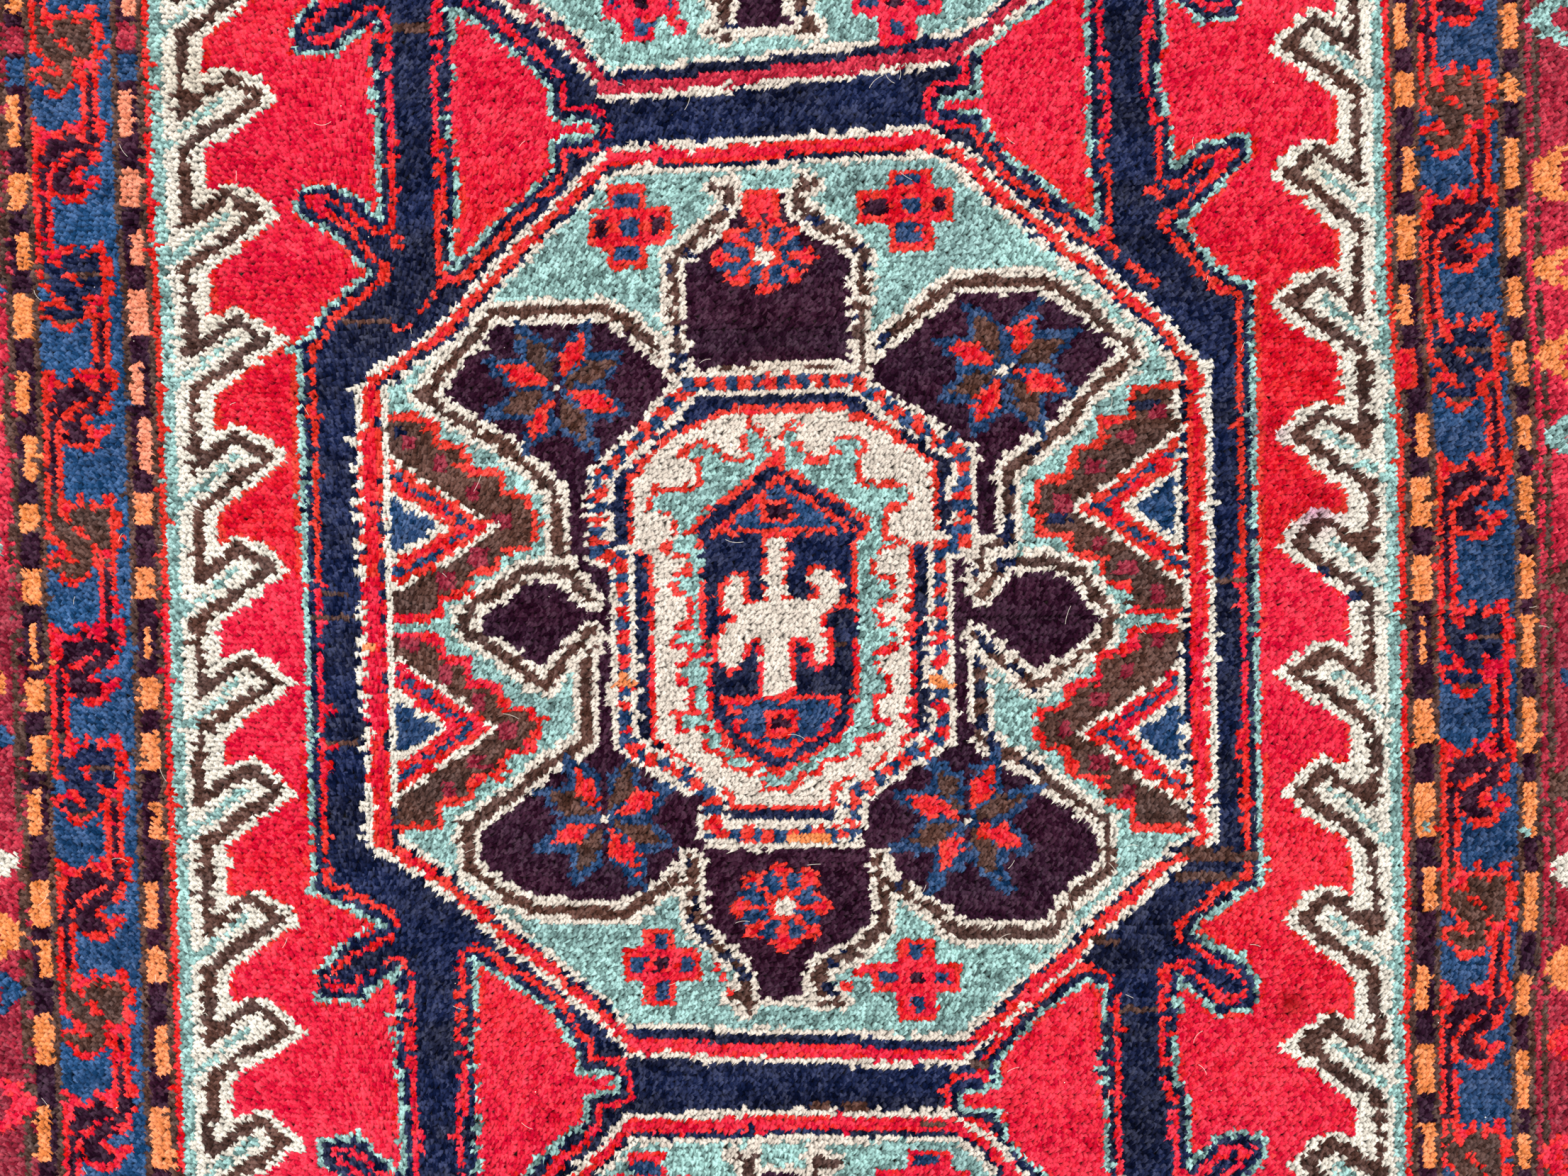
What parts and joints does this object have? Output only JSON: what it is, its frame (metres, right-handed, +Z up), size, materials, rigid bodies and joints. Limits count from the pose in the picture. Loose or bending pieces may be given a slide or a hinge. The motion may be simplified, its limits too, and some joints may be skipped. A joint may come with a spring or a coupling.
{
  "type": "persian rug",
  "caption": "Cut length of a hand-knotted wool pile rug with medallion pattern and borders, lying flat to cover a floor or table.",
  "frame": {"origin": "middle of the flat underside, on the floor", "axes": "+X across the rug, along its wefts; +Y along the rug, along its warps; +Z up out of the pile"},
  "size_m": [1.001, 0.751, 0.0104],
  "materials": {
    "wool_pile": "cut wool pile, matt with a soft sheen, mainly red with navy, blue, teal, ivory, brown, aubergine and orange",
    "wool_red": "cut wool pile, matt with a soft sheen, scarlet to crimson where the dye lots change",
    "wool_navy": "cut wool pile, matt with a soft sheen, dark indigo",
    "wool_blue": "cut wool pile, matt with a soft sheen, mid indigo blue",
    "wool_teal": "cut wool pile, matt with a soft sheen, pale blue-green",
    "wool_ivory": "cut wool pile, matt, undyed ivory",
    "wool_brown": "cut wool pile, matt, natural brown",
    "wool_aubergine": "cut wool pile, matt, brown-purple",
    "wool_orange": "cut wool pile, matt with a soft sheen, orange to salmon",
    "wool_burgundy": "cut wool pile, matt with a soft sheen, wine red",
    "cotton_foundation": "plain cotton warps and wefts, matt"
  },
  "bodies": {
    "root": {"rug": "wool_pile"}
  },
  "joints": []
}
